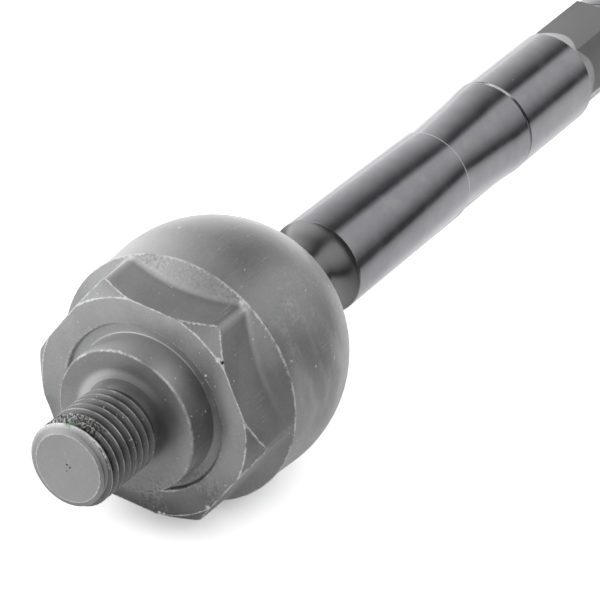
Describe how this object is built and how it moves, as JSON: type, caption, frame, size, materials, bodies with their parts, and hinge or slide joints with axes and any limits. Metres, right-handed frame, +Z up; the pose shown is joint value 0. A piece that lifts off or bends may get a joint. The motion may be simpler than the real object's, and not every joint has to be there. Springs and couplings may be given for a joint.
{
  "type": "inner tie rod",
  "caption": "Inner tie rod for a steering rack: threaded stud, hexagon and domed ball housing, with a rod that swings in it and ends in an outer thread.",
  "frame": {"origin": "on the ground under the middle of the part's length, as it lies at rest on the dome of its housing and the end of its rod", "axes": "+Z up, +X along the ground from the rack stud towards the outer thread; the part's own axis drops 4.09 degrees from +X"},
  "size_m": [0.2402, 0.0422, 0.0428],
  "materials": {
    "phosphated_steel": "matte grey phosphate",
    "black_steel": "black phosphate, oiled, glossy",
    "shell_plastic": "natural acetal"
  },
  "bodies": {
    "housing": {"housing": "phosphated_steel"},
    "shell": {"bearing_shell": "shell_plastic"},
    "rod": {"ball_stud_rod": "black_steel"}
  },
  "joints": [
    {"name": "rod_turn", "type": "hinge", "parent": "housing", "child": "shell", "pos_m": [-0.0796, 0, 0.02115], "axis": [0.9975, 0, -0.0713], "continuous": true},
    {"name": "rod_swing", "type": "hinge", "parent": "shell", "child": "rod", "pos_m": [-0.0796, 0, 0.02115], "axis": [0, 1, 0], "range_deg": [-20, 20]}
  ]
}
